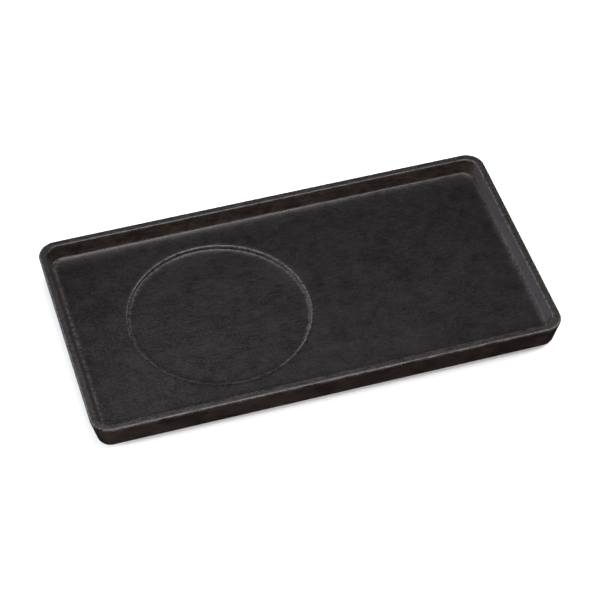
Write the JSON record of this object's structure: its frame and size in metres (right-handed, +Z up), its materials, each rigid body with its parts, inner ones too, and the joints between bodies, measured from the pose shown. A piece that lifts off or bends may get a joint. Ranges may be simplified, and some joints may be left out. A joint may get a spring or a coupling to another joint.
{
  "type": "serving tray with round seat",
  "caption": "Shallow rectangular black wooden tray with a raised rim and a shallow round seat near one end, standing on anti-slip pads.",
  "frame": {"origin": "centre of the tray, on the surface that the pads stand on", "axes": "+X along the long side, away from the round seat; +Y across the tray, to the back; +Z up"},
  "size_m": [0.26, 0.14, 0.02],
  "materials": {
    "black_wood": "satin black stain",
    "pad_rubber": "matt"
  },
  "bodies": {
    "root": {"tray_body": "black_wood", "anti_slip_pad_front_left": "pad_rubber", "anti_slip_pad_back_left": "pad_rubber", "anti_slip_pad_front_right": "pad_rubber", "anti_slip_pad_back_right": "pad_rubber"}
  },
  "joints": []
}
